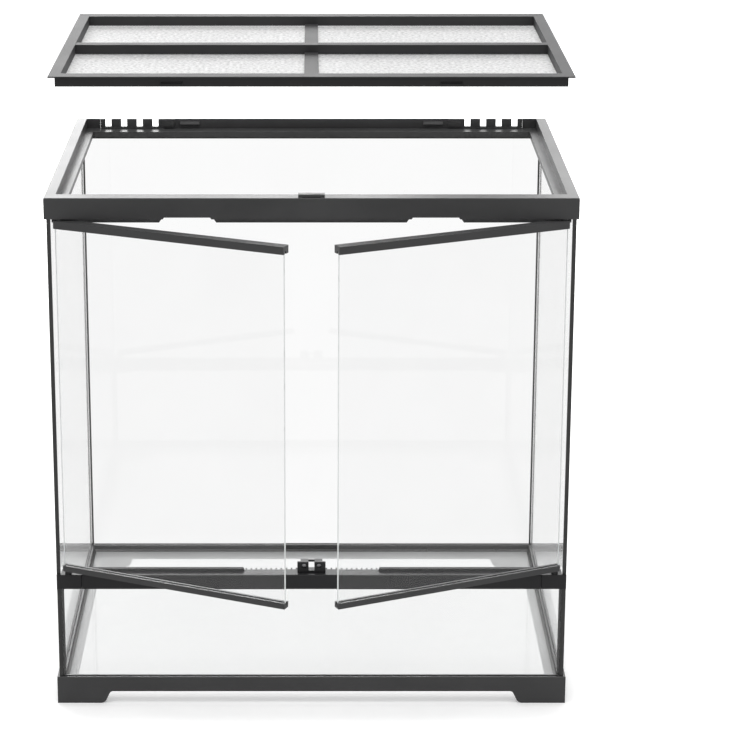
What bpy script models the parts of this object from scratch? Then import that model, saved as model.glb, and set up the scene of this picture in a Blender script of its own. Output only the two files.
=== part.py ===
"""Glass terrarium with two front doors and a screen lid, as separate pieces at real size.

Units are metres, +Z is up, +X is to the right and -Y is the front. Each moving piece hangs from an
empty on its joint's axis. The doors stand partly open and the lid is held above the tank.
"""

import math

import bmesh
import bpy
from mathutils import Matrix, Vector

# Overall size of the tank, without the open doors and the raised lid
TANK_WIDTH = 0.605
TANK_DEPTH = 0.455
TANK_HEIGHT = 0.617

# Fits
FIT_GAP = 0.0003
SEAM_GAP = 0.0006

# Glass
PANE_THICKNESS = 0.004
FLOOR_THICKNESS = 0.005
DOOR_GLASS_THICKNESS = 0.003
REAR_SEAL_LEG = 0.0022
FRONT_SEAL_LEG = 0.0036
FLOOR_SEAL_LEG = 0.0025
TRIM_THICKNESS = 0.0017

# Moulded frames
FRAME_WALL = 0.0024
EDGE_CHAMFER = 0.0007

# Base frame
BASE_HEIGHT = 0.0335
FOOT_HEIGHT = 0.0151
FOOT_LENGTH = 0.0510
FOOT_SPREAD = 0.0150
FOOT_THICKNESS = 0.012
FOOT_ROUND = 0.0080
SKIRT_FILLET = 0.0045
FLOOR_LEVEL = 0.025
FLOOR_LEDGE = 0.012

# Top frame
FASCIA_HEIGHT = 0.0245
SIDE_RIM = 0.0125
FRONT_RIM = 0.020
REAR_RIM = 0.0025
LID_SEAT_DEPTH = 0.0124
LEDGE_THICKNESS = 0.0064
SIDE_LEDGE = 0.010
FRONT_LEDGE = 0.008
REAR_LEDGE = 0.023
CHANNEL_ROOF = 0.0022
STOP_LIP_SETBACK = 0.014
STOP_LIP_THICKNESS = 0.003
STOP_LIP_DROP = 0.0070
NOTCH_FROM_SIDE = 0.1620
NOTCH_WIDTH = 0.052
NOTCH_SLOPE = 0.0065
NOTCH_IN_FASCIA = 0.0020

# Cable notches in the rear wall, and their sliders
INLET_COUNT = 4
INLET_FROM_SIDE = 0.0405
INLET_PITCH = 0.0202
INLET_WIDTH = 0.0077
INLET_DEPTH = 0.0099
SLIDER_THICKNESS = 0.0016
SLIDER_MARGIN = 0.0250
SLIDER_TAIL = 0.0060
SLIDER_GRIP_WIDTH = 0.0160
SLIDER_GRIP_HEIGHT = 0.0045
SLIDER_GRIP_DEPTH = 0.0015
GUIDE_THICKNESS = 0.0014
GUIDE_HEIGHT = 0.0020

# Snap tabs on the rear wall, in line with the lid's slots
TAB_FROM_SIDE = 0.1455
TAB_WIDTH = 0.025
TAB_REACH = 0.0028
TAB_DROP = 0.0032
TAB_RAMP = 0.0034
TAB_EDGE = 0.0010

# Vent rail below the doors
RAIL_BOTTOM = 0.1456
RAIL_HEIGHT = 0.0177
RAIL_DEPTH = 0.0187
RAIL_TOP_PLATE = 0.0022
RAIL_PANE_GRIP = 0.0050
RAIL_SKIRT_DROP = 0.0070
COMB_HALF_WIDTH = 0.0787
COMB_PITCH = 0.0059
COMB_TOOTH = 0.0020
COMB_REACH = 0.0058
SCREEN_SHEET = 0.0006
VENT_SCREEN_DEPTH = 0.0075
SILL_SETBACK = 0.0125
SILL_THICKNESS = 0.0058
SILL_HEIGHT = 0.0030
HINGE_BLOCK_WIDTH = 0.0295

# Doors, as they stand when closed
DOOR_OPEN_DEGREES = 24.7
DOOR_SETBACK = 0.0020
DOOR_RAIL_FRONT = 0.0050
DOOR_TOP_RAIL_DEPTH = 0.0130
DOOR_BOTTOM_RAIL_DEPTH = 0.0100
DOOR_TOP_RAIL_HEIGHT = 0.0088
DOOR_BOTTOM_RAIL_HEIGHT = 0.0069
DOOR_TOP_GAP = 0.0019
DOOR_BOTTOM_GAP = 0.0051
DOOR_MEETING_GAP = 0.0030
DOOR_GLASS_GRIP = 0.0030
DOOR_GLASS_INSET = 0.0012
HINGE_FROM_OUTSIDE = 0.0165
HINGE_SETBACK = 0.0042
HINGE_TO_RAIL_END = 0.0045
RAIL_END_CHAMFER = 0.0020
PIN_RADIUS = 0.0015
PIN_IN_FRAME = 0.0060
PIN_IN_RAIL = 0.0026
PIN_CLEARANCE = 0.0003
BOSS_RADIUS = 0.0040

# Door lock in the middle of the vent rail
LOCK_BLOCK_WIDTH = 0.0132
LOCK_BLOCK_HEIGHT = 0.0130
LOCK_BLOCK_CENTRE = 0.0100
LOCK_FACE_THICKNESS = 0.0030
LOCK_BODY_WIDTH = 0.0095
LOCK_DEPTH = 0.0120
LOCK_FRONT_GAP = 0.0006
LOCK_BASE_THICKNESS = 0.0020
LOCK_SOCKET_CENTRE = 0.0087
LOCK_SOCKET_RADIUS = 0.0029
LOCK_SOCKET_DEPTH = 0.0070
LOCK_DISH_RADIUS = 0.0042
LOCK_DISH_DEPTH = 0.0008
MAGNET_THICKNESS = 0.0020
STRIKER_RADIUS = 0.0020
STRIKER_REACH = 0.0038

# Screen lid
LID_RAISE = 0.134
LID_DEPTH_OF_FRAME = 0.0130
LID_FLANGE_THICKNESS = 0.0015
LID_SIDE_OVERHANG = 0.007
LID_FRONT_OVERHANG = 0.009
LID_REAR_OVERHANG = 0.0055
LID_SIDE_OVERLAP = 0.005
LID_FRONT_OVERLAP = 0.0065
LID_REAR_GAP = 0.0042
LID_WALL = 0.0020
LID_BAR_WIDTH = 0.021
LID_SIDE_BAR_WIDTH = 0.013
LID_CROSS_BAR_WIDTH = 0.0165
LID_CROSS_BAR_DROP = 0.0006
LID_STRIP_WIDTH = 0.0165
LID_STRIP_THICKNESS = 0.0024
LID_SLOT_TOP = 0.0068
LID_SLOT_HEIGHT = 0.0030
LID_SNAP_REACH = 0.0010
LID_SNAP_HEIGHT = 0.0022
SCREEN_OVERLAP = 0.0016
SCREEN_CELLS_ACROSS = 12
SCREEN_RIB = 0.0052

# Lid catch on the front rim
CATCH_WIDTH = 0.030
CATCH_HEIGHT = 0.0036
CATCH_BASE = 0.0040
CATCH_HOOK = 0.0060
CATCH_TONGUE_WIDTH = 0.020
CATCH_TONGUE_DEPTH = 0.0025
CATCH_LID_GAP = 0.0005

ROUND_SIDES = 24
ARC_STEPS = 6
THROUGH = 0.004

# Planes and levels that several pieces share
HALF_WIDTH = TANK_WIDTH / 2
HALF_DEPTH = TANK_DEPTH / 2
FRONT = -HALF_DEPTH
REAR = HALF_DEPTH
CHANNEL_WIDTH = PANE_THICKNESS + 2 * FIT_GAP
CHANNEL_END = FRAME_WALL + CHANNEL_WIDTH
LIP_END = CHANNEL_END + FRAME_WALL
PANE_OUTSET = FRAME_WALL + FIT_GAP
SIDE_PANE_INNER = HALF_WIDTH - PANE_OUTSET - PANE_THICKNESS
PANE_HALF_WIDTH = SIDE_PANE_INNER - SEAM_GAP - FIT_GAP
BASE_PLATE_TOP = FLOOR_LEVEL - FLOOR_THICKNESS - FIT_GAP
PANE_FOOT = BASE_PLATE_TOP + FIT_GAP
FASCIA_BOTTOM = TANK_HEIGHT - FASCIA_HEIGHT
LEDGE_TOP = TANK_HEIGHT - LID_SEAT_DEPTH
LEDGE_BOTTOM = LEDGE_TOP - LEDGE_THICKNESS
CHANNEL_ROOF_LEVEL = LEDGE_TOP - CHANNEL_ROOF
PANE_TOP = CHANNEL_ROOF_LEVEL - FIT_GAP
RAIL_TOP = RAIL_BOTTOM + RAIL_HEIGHT
RAIL_REAR = FRONT + RAIL_DEPTH
RAIL_CHANNEL_TOP = RAIL_BOTTOM + RAIL_PANE_GRIP
LOWER_PANE_TOP = RAIL_CHANNEL_TOP - FIT_GAP
BLOCK_INNER = HALF_WIDTH - PANE_OUTSET - HINGE_BLOCK_WIDTH
TRIM_REAR = FRONT + PANE_OUTSET + TRIM_THICKNESS
SIDE_PANE_FRONT = TRIM_REAR + FIT_GAP
HINGE_X = HALF_WIDTH - HINGE_FROM_OUTSIDE
HINGE_Y = FRONT + HINGE_SETBACK
DOOR_FRONT = DOOR_SETBACK - HINGE_SETBACK - DOOR_RAIL_FRONT
DOOR_TOP = FASCIA_BOTTOM - DOOR_TOP_GAP
DOOR_BOTTOM = RAIL_TOP + DOOR_BOTTOM_GAP
DOOR_REACH = HINGE_X - DOOR_MEETING_GAP / 2
DOOR_ANGLE = math.radians(DOOR_OPEN_DEGREES)
LID_SEATED_TOP = TANK_HEIGHT + FIT_GAP + LID_FLANGE_THICKNESS
LID_FRONT = FRONT + FRONT_RIM - LID_FRONT_OVERLAP
LID_REAR = REAR - REAR_RIM - LID_REAR_GAP + LID_REAR_OVERHANG
LID_HALF_WIDTH = HALF_WIDTH - SIDE_RIM + LID_SIDE_OVERLAP
LID_BAR_BOTTOM = -LID_DEPTH_OF_FRAME + SCREEN_SHEET + FIT_GAP
LOCK_FRONT = HINGE_Y + DOOR_FRONT + DOOR_BOTTOM_RAIL_DEPTH + LOCK_FRONT_GAP
LOCK_SOCKET_LEVEL = DOOR_BOTTOM + STRIKER_RADIUS + 0.0006
CATCH_FRONT = LID_FRONT - CATCH_LID_GAP - CATCH_HOOK - CATCH_BASE
CATCH_TRAVEL = CATCH_HOOK
NOTCH_CENTRE = HALF_WIDTH - NOTCH_FROM_SIDE
TAB_CENTRE = HALF_WIDTH - TAB_FROM_SIDE
INLET_LAST = HALF_WIDTH - INLET_FROM_SIDE
INLET_FIRST = INLET_LAST - (INLET_COUNT - 1) * INLET_PITCH
INLET_STRIP_START = INLET_FIRST - INLET_PITCH / 2
INLET_STRIP_END = INLET_LAST + INLET_PITCH / 2

# The origin is under the middle of the whole object, open doors included
DOOR_FRONT_REACH = DOOR_REACH * math.sin(DOOR_ANGLE) - DOOR_FRONT * math.cos(DOOR_ANGLE)
Y_SHIFT = -(HINGE_Y - DOOR_FRONT_REACH + REAR) / 2


def clear_scene():
    for old in list(bpy.data.objects):
        bpy.data.objects.remove(old, do_unlink=True)


def make_material(name, colour, roughness, metallic=0.0, transmission=0.0):
    material = bpy.data.materials.new(name)
    material.use_nodes = True
    shader = material.node_tree.nodes["Principled BSDF"]
    shader.inputs["Base Color"].default_value = (*colour, 1.0)
    shader.inputs["Roughness"].default_value = roughness
    shader.inputs["Metallic"].default_value = metallic
    shader.inputs["Transmission Weight"].default_value = transmission
    return material


def make_empty(name, location, parent=None, turn=0.0):
    empty = bpy.data.objects.new(name, None)
    empty.location = location
    empty.rotation_euler = (0.0, 0.0, turn)
    empty.parent = parent
    bpy.context.scene.collection.objects.link(empty)
    return empty


def make_object(name, form, parent, material=None, smooth=False):
    """Turns a bmesh into an object under parent, with its faces outwards."""
    bmesh.ops.recalc_face_normals(form, faces=form.faces)
    mesh = bpy.data.meshes.new(name)
    form.to_mesh(mesh)
    form.free()
    if smooth:
        mesh.shade_smooth()
        mesh.set_sharp_from_angle(angle=math.radians(35))
    made = bpy.data.objects.new(name, mesh)
    made.parent = parent
    if material:
        mesh.materials.append(material)
    bpy.context.scene.collection.objects.link(made)
    return made


def combine(target, operation, form, label):
    """Joins a bmesh to target, or cuts it from target, through a Boolean with a hidden helper."""
    helper = make_object(f"{target.name}_{label}", form, target.parent)
    helper.hide_render = True
    helper.display_type = "WIRE"
    modifier = target.modifiers.new(label, "BOOLEAN")
    modifier.operation = operation
    modifier.solver = "EXACT"
    modifier.object = helper


def add_box(form, low, high):
    size = [b - a for a, b in zip(low, high)]
    centre = [(a + b) / 2 for a, b in zip(low, high)]
    place = Matrix.Translation(centre) @ Matrix.Diagonal((*size, 1.0))
    bmesh.ops.create_cube(form, size=1.0, matrix=place)


def boxes(*corner_pairs):
    form = bmesh.new()
    for low, high in corner_pairs:
        add_box(form, low, high)
    return form


def add_prism(form, outline, axis, start, stop):
    """Adds a flat outline drawn across axis and extruded along it from start to stop."""
    order = {"x": lambda a, b: (start, a, b), "y": lambda a, b: (a, start, b), "z": lambda a, b: (a, b, start)}
    along = {"x": Vector((1, 0, 0)), "y": Vector((0, 1, 0)), "z": Vector((0, 0, 1))}[axis]
    corners = [form.verts.new(order[axis](a, b)) for a, b in outline]
    face = form.faces.new(corners)
    grown = bmesh.ops.extrude_face_region(form, geom=[face])["geom"]
    moved = [item for item in grown if isinstance(item, bmesh.types.BMVert)]
    bmesh.ops.translate(form, verts=moved, vec=along * (stop - start))


def prism(outline, axis, start, stop):
    form = bmesh.new()
    add_prism(form, outline, axis, start, stop)
    return form


def add_cylinder(form, centre, radius, axis, start, stop):
    """Adds a round bar about centre, the two coordinates across axis, from start to stop along it."""
    turn = {"y": Matrix.Rotation(math.radians(90), 4, "X"), "z": Matrix.Identity(4)}[axis]
    middle = (start + stop) / 2
    place = {"y": (centre[0], middle, centre[1]), "z": (centre[0], centre[1], middle)}[axis]
    bmesh.ops.create_cone(
        form,
        cap_ends=True,
        segments=ROUND_SIDES,
        radius1=radius,
        radius2=radius,
        depth=abs(stop - start),
        matrix=Matrix.Translation(place) @ turn,
    )


def cylinder(centre, radius, axis, start, stop):
    form = bmesh.new()
    add_cylinder(form, centre, radius, axis, start, stop)
    return form


def frame_ring(rows, low, high):
    """A closed rectangular ring with mitred corners between low and high, seen from above.

    Each row is one corner of the moulded section: its level, then how far it lies inside the outer
    face on the two sides, at the front and at the rear.
    """
    form = bmesh.new()
    loops = []
    for left, fore in ((True, True), (False, True), (False, False), (True, False)):
        loop = []
        for level, side, front, rear in rows:
            x = low[0] + side if left else high[0] - side
            y = low[1] + front if fore else high[1] - rear
            loop.append(form.verts.new((x, y, level)))
        loops.append(loop)
    for here, there in zip(loops, loops[1:] + loops[:1]):
        for i in range(len(rows)):
            j = (i + 1) % len(rows)
            form.faces.new((here[i], here[j], there[j], there[i]))
    return form


def even(level, inset):
    """A ring row that lies equally far inside on every side."""
    return (level, inset, inset, inset)


def arc(centre, radius, first, last):
    """Points of an arc, in degrees."""
    step = (last - first) / ARC_STEPS
    angles = [math.radians(first + step * i) for i in range(ARC_STEPS + 1)]
    return [(centre[0] + radius * math.cos(a), centre[1] + radius * math.sin(a)) for a in angles]


def build_materials():
    return {
        "frame_plastic": make_material("frame_plastic", (0.045, 0.045, 0.048), 0.42),
        "lid_plastic": make_material("lid_plastic", (0.040, 0.040, 0.042), 0.42),
        "rubber": make_material("rubber", (0.015, 0.015, 0.016), 0.60),
        "silicone": make_material("silicone", (0.018, 0.018, 0.018), 0.35),
        "glass": make_material("glass", (0.96, 0.99, 0.98), 0.02, transmission=1.0),
        "steel": make_material("steel", (0.56, 0.56, 0.57), 0.28, metallic=1.0),
        "magnet": make_material("magnet", (0.20, 0.20, 0.21), 0.35, metallic=1.0),
        "steel_mesh": make_material("steel_mesh", (0.55, 0.55, 0.56), 0.38, metallic=1.0),
    }


def skirt_gap(half_span):
    """Outline of the arch between two feet: rounded at the foot's toe and filleted under the skirt.

    The straight side between the two arcs touches both, which sets its slope.
    """
    share = min(1.0, FOOT_SPREAD / (FOOT_ROUND + SKIRT_FILLET), FOOT_HEIGHT / (FOOT_ROUND + SKIRT_FILLET))
    toe_round = FOOT_ROUND * share
    fillet = SKIRT_FILLET * share
    rise = FOOT_HEIGHT - toe_round - fillet
    slope = math.asin((toe_round + fillet) / math.hypot(FOOT_SPREAD, rise)) + math.atan2(rise, FOOT_SPREAD)
    turn = math.degrees(slope)
    toe = half_span - FOOT_LENGTH
    right = arc((toe - FOOT_SPREAD, FOOT_HEIGHT - fillet), fillet, 90, 90 - turn)
    right += arc((toe, toe_round), toe_round, 270 - turn, 270)
    right.append((toe, -THROUGH))
    left = [(-a, b) for a, b in reversed(right)]
    return left + right


def build_base(root, materials):
    rows = [
        even(0.0, 0.0),
        even(BASE_HEIGHT - EDGE_CHAMFER, 0.0),
        even(BASE_HEIGHT, EDGE_CHAMFER),
        even(BASE_HEIGHT, FRAME_WALL),
        even(BASE_PLATE_TOP, FRAME_WALL),
        even(BASE_PLATE_TOP, CHANNEL_END),
        even(BASE_HEIGHT, CHANNEL_END),
        even(BASE_HEIGHT, LIP_END),
        even(BASE_PLATE_TOP, LIP_END),
        even(BASE_PLATE_TOP, LIP_END + FLOOR_LEDGE),
        even(FOOT_HEIGHT, LIP_END + FLOOR_LEDGE),
        even(FOOT_HEIGHT, FOOT_THICKNESS),
        even(0.0, FOOT_THICKNESS),
    ]
    form = frame_ring(rows, (-HALF_WIDTH, FRONT), (HALF_WIDTH, REAR))
    base = make_object("base_frame", form, root, materials["frame_plastic"])
    across = prism(skirt_gap(HALF_WIDTH), "y", FRONT - THROUGH, REAR + THROUGH)
    combine(base, "DIFFERENCE", across, "front_arch")
    along = prism(skirt_gap(HALF_DEPTH), "x", -HALF_WIDTH - THROUGH, HALF_WIDTH + THROUGH)
    combine(base, "DIFFERENCE", along, "side_arch")


def build_panes(root, materials):
    glass = materials["glass"]
    floor_x = HALF_WIDTH - LIP_END - FIT_GAP
    floor_y = HALF_DEPTH - LIP_END - FIT_GAP
    floor = boxes(((-floor_x, -floor_y, PANE_FOOT), (floor_x, floor_y, FLOOR_LEVEL)))
    make_object("bottom_pane", floor, root, glass)
    rear_face = REAR - PANE_OUTSET
    for name, side in (("left_pane", -1), ("right_pane", 1)):
        inner = side * SIDE_PANE_INNER
        outer = side * (SIDE_PANE_INNER + PANE_THICKNESS)
        low = (min(inner, outer), SIDE_PANE_FRONT, PANE_FOOT)
        high = (max(inner, outer), rear_face, PANE_TOP)
        make_object(name, boxes((low, high)), root, glass)
    low = (-PANE_HALF_WIDTH, rear_face - PANE_THICKNESS, PANE_FOOT)
    make_object("rear_pane", boxes((low, (PANE_HALF_WIDTH, rear_face, PANE_TOP))), root, glass)
    front_face = FRONT + PANE_OUTSET
    low = (-PANE_HALF_WIDTH, front_face, PANE_FOOT)
    high = (PANE_HALF_WIDTH, front_face + PANE_THICKNESS, LOWER_PANE_TOP)
    make_object("lower_front_pane", boxes((low, high)), root, glass)


def corner_bead(side, inner_y, toward, leg, start, stop):
    """A three-sided bead in the corner between a side pane and a pane whose inner face is at inner_y."""
    x = side * (SIDE_PANE_INNER - FIT_GAP)
    y = inner_y + toward * FIT_GAP
    outline = [(x, y), (x - side * leg, y), (x, y + toward * leg)]
    return prism(outline, "z", start, stop)


def build_seals(root, materials):
    silicone = materials["silicone"]
    rear_inner = REAR - PANE_OUTSET - PANE_THICKNESS
    front_inner = FRONT + PANE_OUTSET + PANE_THICKNESS
    start = BASE_HEIGHT + FIT_GAP
    for word, side in (("left", -1), ("right", 1)):
        rear = corner_bead(side, rear_inner, -1, REAR_SEAL_LEG, start, FASCIA_BOTTOM - FIT_GAP)
        make_object(f"rear_{word}_seal", rear, root, silicone)
        front = corner_bead(side, front_inner, 1, FRONT_SEAL_LEG, start, RAIL_BOTTOM - FIT_GAP)
        make_object(f"front_{word}_seal", front, root, silicone)
        inner = side * (HALF_WIDTH - PANE_OUTSET - PANE_THICKNESS - SEAM_GAP)
        outer = side * (HALF_WIDTH - PANE_OUTSET)
        low = (min(inner, outer), FRONT + PANE_OUTSET, PANE_FOOT)
        high = (max(inner, outer), TRIM_REAR, PANE_TOP)
        make_object(f"{word}_edge_trim", boxes((low, high)), root, silicone)
    rows = [
        even(FLOOR_LEVEL + FIT_GAP, LIP_END + FIT_GAP),
        even(FLOOR_LEVEL + FIT_GAP + FLOOR_SEAL_LEG, LIP_END + FIT_GAP),
        even(FLOOR_LEVEL + FIT_GAP, LIP_END + FIT_GAP + FLOOR_SEAL_LEG),
    ]
    floor_seal = frame_ring(rows, (-HALF_WIDTH, FRONT), (HALF_WIDTH, REAR))
    make_object("floor_seal", floor_seal, root, silicone)


def build_vent_rail(root, materials):
    plastic = materials["frame_plastic"]
    plate_bottom = RAIL_TOP - RAIL_TOP_PLATE
    section = [
        (FRONT, RAIL_BOTTOM),
        (FRONT + FRAME_WALL, RAIL_BOTTOM),
        (FRONT + FRAME_WALL, RAIL_CHANNEL_TOP),
        (FRONT + CHANNEL_END, RAIL_CHANNEL_TOP),
        (FRONT + CHANNEL_END, RAIL_BOTTOM),
        (FRONT + LIP_END, RAIL_BOTTOM),
        (FRONT + LIP_END, plate_bottom),
        (RAIL_REAR - FRAME_WALL, plate_bottom),
        (RAIL_REAR - FRAME_WALL, RAIL_TOP - RAIL_SKIRT_DROP),
        (RAIL_REAR, RAIL_TOP - RAIL_SKIRT_DROP),
        (RAIL_REAR, RAIL_TOP),
        (FRONT + EDGE_CHAMFER, RAIL_TOP),
        (FRONT, RAIL_TOP - EDGE_CHAMFER),
    ]
    end = BLOCK_INNER - FIT_GAP
    rail = make_object("vent_rail", prism(section, "x", -end, end), root, plastic)
    teeth = bmesh.new()
    count = int(COMB_HALF_WIDTH / COMB_PITCH)
    for i in range(-count, count + 1):
        x = i * COMB_PITCH
        low = (x - COMB_TOOTH / 2, RAIL_REAR - FRAME_WALL / 2, plate_bottom)
        high = (x + COMB_TOOTH / 2, RAIL_REAR + COMB_REACH, RAIL_TOP - FIT_GAP)
        add_box(teeth, low, high)
    combine(rail, "UNION", teeth, "comb")
    reach = count * COMB_PITCH + COMB_TOOTH / 2
    screen_top = plate_bottom - FIT_GAP
    rear = RAIL_REAR + COMB_REACH
    low = (-reach, max(RAIL_REAR + FIT_GAP, rear - VENT_SCREEN_DEPTH), screen_top - SCREEN_SHEET)
    make_object("vent_screen", boxes((low, (reach, rear, screen_top))), root, materials["steel_mesh"])
    for word, side in (("left", -1), ("right", 1)):
        build_hinge_block(root, plastic, word, side)
        near = side * COMB_HALF_WIDTH
        far = side * (BLOCK_INNER - FIT_GAP)
        start = FRONT + SILL_SETBACK
        foot = RAIL_TOP + FIT_GAP
        top = foot + SILL_HEIGHT
        outline = [(near, foot), (far, foot), (far, top), (near + side * SILL_HEIGHT / 2, top)]
        sill = prism(outline, "y", start, start + SILL_THICKNESS)
        make_object(f"{word}_sill_seal", sill, root, materials["rubber"])


def build_hinge_block(root, plastic, word, side):
    """The end of the vent rail: it caps the side pane's edge and carries the lower hinge pin."""
    outer = HALF_WIDTH - PANE_OUTSET
    inside = HALF_WIDTH - PANE_OUTSET - PANE_THICKNESS - SEAM_GAP - FIT_GAP
    plan = [
        (side * BLOCK_INNER, FRONT + EDGE_CHAMFER),
        (side * (BLOCK_INNER + EDGE_CHAMFER), FRONT),
        (side * outer, FRONT),
        (side * outer, FRONT + FRAME_WALL),
        (side * inside, FRONT + FRAME_WALL),
        (side * inside, RAIL_REAR),
        (side * BLOCK_INNER, RAIL_REAR),
    ]
    block = make_object(f"{word}_hinge_block", prism(plan, "z", RAIL_BOTTOM, RAIL_TOP), root, plastic)
    pane_x = (side * (BLOCK_INNER - THROUGH), side * (PANE_HALF_WIDTH + FIT_GAP + THROUGH))
    low = (min(pane_x), FRONT + FRAME_WALL, RAIL_BOTTOM - THROUGH)
    high = (max(pane_x), FRONT + CHANNEL_END, RAIL_CHANNEL_TOP)
    combine(block, "DIFFERENCE", boxes((low, high)), "pane_channel")
    pin = (side * HINGE_X, HINGE_Y)
    boss_top = DOOR_BOTTOM - FIT_GAP
    boss = cylinder(pin, BOSS_RADIUS, "z", RAIL_TOP - FRAME_WALL, boss_top)
    combine(block, "UNION", boss, "boss")
    hole_floor = boss_top - DOOR_BOTTOM_GAP - PIN_IN_FRAME - PIN_CLEARANCE
    hole = cylinder(pin, PIN_RADIUS + PIN_CLEARANCE, "z", hole_floor, boss_top + THROUGH)
    combine(block, "DIFFERENCE", hole, "pin_hole")


def build_top_frame(root, materials):
    outer_top = TANK_HEIGHT - EDGE_CHAMFER
    rows = [
        (FASCIA_BOTTOM, 0.0, 0.0, 0.0),
        (outer_top, 0.0, 0.0, 0.0),
        (TANK_HEIGHT, EDGE_CHAMFER, EDGE_CHAMFER, EDGE_CHAMFER),
        (TANK_HEIGHT, SIDE_RIM, FRONT_RIM, REAR_RIM),
        (LEDGE_TOP, SIDE_RIM, FRONT_RIM, REAR_RIM),
        (LEDGE_TOP, SIDE_RIM + SIDE_LEDGE, FRONT_RIM + FRONT_LEDGE, REAR_RIM + REAR_LEDGE),
        (LEDGE_BOTTOM, SIDE_RIM + SIDE_LEDGE, FRONT_RIM + FRONT_LEDGE, REAR_RIM + REAR_LEDGE),
        (LEDGE_BOTTOM, LIP_END, LIP_END, LIP_END),
        (FASCIA_BOTTOM, LIP_END, LIP_END, LIP_END),
        (FASCIA_BOTTOM, CHANNEL_END, CHANNEL_END, CHANNEL_END),
        (CHANNEL_ROOF_LEVEL, CHANNEL_END, CHANNEL_END, CHANNEL_END),
        (CHANNEL_ROOF_LEVEL, FRAME_WALL, FRAME_WALL, FRAME_WALL),
        (FASCIA_BOTTOM, FRAME_WALL, FRAME_WALL, FRAME_WALL),
    ]
    form = frame_ring(rows, (-HALF_WIDTH, FRONT), (HALF_WIDTH, REAR))
    top = make_object("top_frame", form, root, materials["frame_plastic"])
    beam_x = PANE_HALF_WIDTH
    beam_rear = FRONT + STOP_LIP_SETBACK + STOP_LIP_THICKNESS
    beam = boxes(((-beam_x, FRONT + EDGE_CHAMFER, FASCIA_BOTTOM), (beam_x, beam_rear, LEDGE_TOP - EDGE_CHAMFER)))
    combine(top, "UNION", beam, "front_beam")
    lip_y = FRONT + STOP_LIP_SETBACK
    lip_low = (-beam_x, lip_y, FASCIA_BOTTOM - STOP_LIP_DROP)
    lip = boxes((lip_low, (beam_x, beam_rear - FIT_GAP, FASCIA_BOTTOM + EDGE_CHAMFER)))
    combine(top, "UNION", lip, "stop_lip")
    combine(top, "UNION", upper_bosses(), "hinge_bosses")
    combine(top, "DIFFERENCE", upper_pin_holes(), "pin_holes")
    combine(top, "DIFFERENCE", fascia_notches(), "door_notches")
    combine(top, "DIFFERENCE", inlet_strip_seats(), "inlet_strip_seats")
    combine(top, "UNION", snap_tabs(), "snap_tabs")
    combine(top, "UNION", slider_guides(), "slider_guides")
    pocket_x = CATCH_TONGUE_WIDTH / 2 + FIT_GAP
    pocket_rear = CATCH_FRONT + CATCH_BASE + CATCH_TRAVEL + FIT_GAP
    pocket_low = (-pocket_x, CATCH_FRONT - FIT_GAP, TANK_HEIGHT - CATCH_TONGUE_DEPTH - FIT_GAP)
    pocket = boxes((pocket_low, (pocket_x, pocket_rear, TANK_HEIGHT + THROUGH)))
    combine(top, "DIFFERENCE", pocket, "catch_pocket")


def upper_bosses():
    form = bmesh.new()
    for side in (-1, 1):
        centre = (side * HINGE_X, HINGE_Y)
        add_cylinder(form, centre, BOSS_RADIUS, "z", DOOR_TOP + FIT_GAP, FASCIA_BOTTOM + FRAME_WALL)
    return form


def upper_pin_holes():
    form = bmesh.new()
    top = FASCIA_BOTTOM + PIN_IN_FRAME + PIN_CLEARANCE
    for side in (-1, 1):
        centre = (side * HINGE_X, HINGE_Y)
        add_cylinder(form, centre, PIN_RADIUS + PIN_CLEARANCE, "z", DOOR_TOP - THROUGH, top)
    return form


def fascia_notches():
    """Two wide notches through the fascia's lower edge and the door stop lip behind it."""
    form = bmesh.new()
    top = FASCIA_BOTTOM + NOTCH_IN_FASCIA
    bottom = FASCIA_BOTTOM - STOP_LIP_DROP - THROUGH
    slope = NOTCH_SLOPE * (top - bottom) / (STOP_LIP_DROP + NOTCH_IN_FASCIA)
    for side in (-1, 1):
        middle = side * NOTCH_CENTRE
        outline = [
            (middle - NOTCH_WIDTH / 2, top),
            (middle + NOTCH_WIDTH / 2, top),
            (middle + NOTCH_WIDTH / 2 + slope, bottom),
            (middle - NOTCH_WIDTH / 2 - slope, bottom),
        ]
        rear = FRONT + STOP_LIP_SETBACK + STOP_LIP_THICKNESS + THROUGH / 2
        add_prism(form, outline, "y", FRONT - THROUGH, rear)
    return form


def inlet_cutters(front, rear, side):
    """Cutters for the cable notches of one side, which are open at the top."""
    form = bmesh.new()
    for i in range(INLET_COUNT):
        middle = side * (INLET_FIRST + i * INLET_PITCH)
        low = (middle - INLET_WIDTH / 2, front - THROUGH / 4, TANK_HEIGHT - INLET_DEPTH)
        high = (middle + INLET_WIDTH / 2, rear + THROUGH / 4, TANK_HEIGHT + THROUGH)
        add_box(form, low, high)
    return form


def inlet_strip_seats():
    """Cuts in the rear wall that the two notched strips stand in."""
    form = bmesh.new()
    for side in (-1, 1):
        ends = (side * (INLET_STRIP_START - FIT_GAP), side * (INLET_STRIP_END + FIT_GAP))
        low = (min(ends), REAR - REAR_RIM - FIT_GAP, LEDGE_TOP)
        add_box(form, low, (max(ends), REAR + THROUGH, TANK_HEIGHT + THROUGH))
    return form


def build_inlet_strips(root, materials):
    foot = LEDGE_TOP + FIT_GAP
    outline = [
        (REAR - REAR_RIM, foot),
        (REAR, foot),
        (REAR, TANK_HEIGHT - EDGE_CHAMFER),
        (REAR - EDGE_CHAMFER, TANK_HEIGHT),
        (REAR - REAR_RIM, TANK_HEIGHT),
    ]
    for word, side in (("left", -1), ("right", 1)):
        form = prism(outline, "x", side * INLET_STRIP_START, side * INLET_STRIP_END)
        strip = make_object(f"{word}_inlet_strip", form, root, materials["frame_plastic"])
        combine(strip, "DIFFERENCE", inlet_cutters(REAR - REAR_RIM, REAR, side), "cable_notches")


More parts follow.
